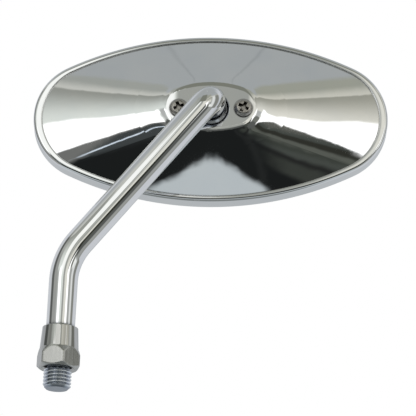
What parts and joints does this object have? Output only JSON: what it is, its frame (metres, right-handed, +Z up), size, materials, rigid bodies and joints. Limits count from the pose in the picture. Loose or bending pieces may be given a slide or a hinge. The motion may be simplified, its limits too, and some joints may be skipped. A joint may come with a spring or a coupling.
{
  "type": "motorcycle mirror",
  "caption": "Oval chrome motorcycle mirror: shallow pressed shell with a ball joint behind its boss, on a bent rod stem with a threaded stud and lock nut",
  "frame": {"origin": "on the stud's axis, in the plane of the lock nut's seat face", "axes": "+Z up along the stud, -Y out of the shell's back, +Y out of the glass, +X the way the stem leans"},
  "size_m": [0.1269, 0.0402, 0.1403],
  "materials": {
    "chrome": "bright chrome plate",
    "satin_chrome": "machined and plated, a little dull",
    "screw_steel": "plated steel",
    "pressed_steel": "zinc plated sheet",
    "nylon": "natural nylon",
    "silvered_glass": "silvered flat glass",
    "rubber": "black rubber"
  },
  "bodies": {
    "stem_body": {"stem": "chrome", "pivot_ball": "chrome"},
    "nut_body": {"lock_nut": "satin_chrome"},
    "inner_cup": {"friction_cup": "nylon"},
    "outer_cup": {"pressure_cup": "pressed_steel"},
    "head": {"housing": "chrome", "bezel": "chrome", "mirror_glass": "silvered_glass", "glass_gasket": "rubber", "clamp_plate": "pressed_steel", "clamp_screws": "screw_steel", "clamp_nuts": "screw_steel"}
  },
  "joints": [
    {"name": "nut_turn", "type": "hinge", "parent": "stem_body", "child": "nut_body", "pos_m": [0, 0, 0], "axis": [0, 0, 1], "continuous": true},
    {"name": "head_spin", "type": "hinge", "parent": "stem_body", "child": "inner_cup", "pos_m": [0.04796, 0.018, 0.10197], "axis": [0, -1, 0], "continuous": true},
    {"name": "head_tilt", "type": "hinge", "parent": "inner_cup", "child": "outer_cup", "pos_m": [0.04796, 0.018, 0.10197], "axis": [0.9987, 0, 0.0506], "range_deg": [-8, 8]},
    {"name": "head_turn", "type": "hinge", "parent": "outer_cup", "child": "head", "pos_m": [0.04796, 0.018, 0.10197], "axis": [-0.0506, 0, 0.9987], "range_deg": [-8, 8]}
  ]
}
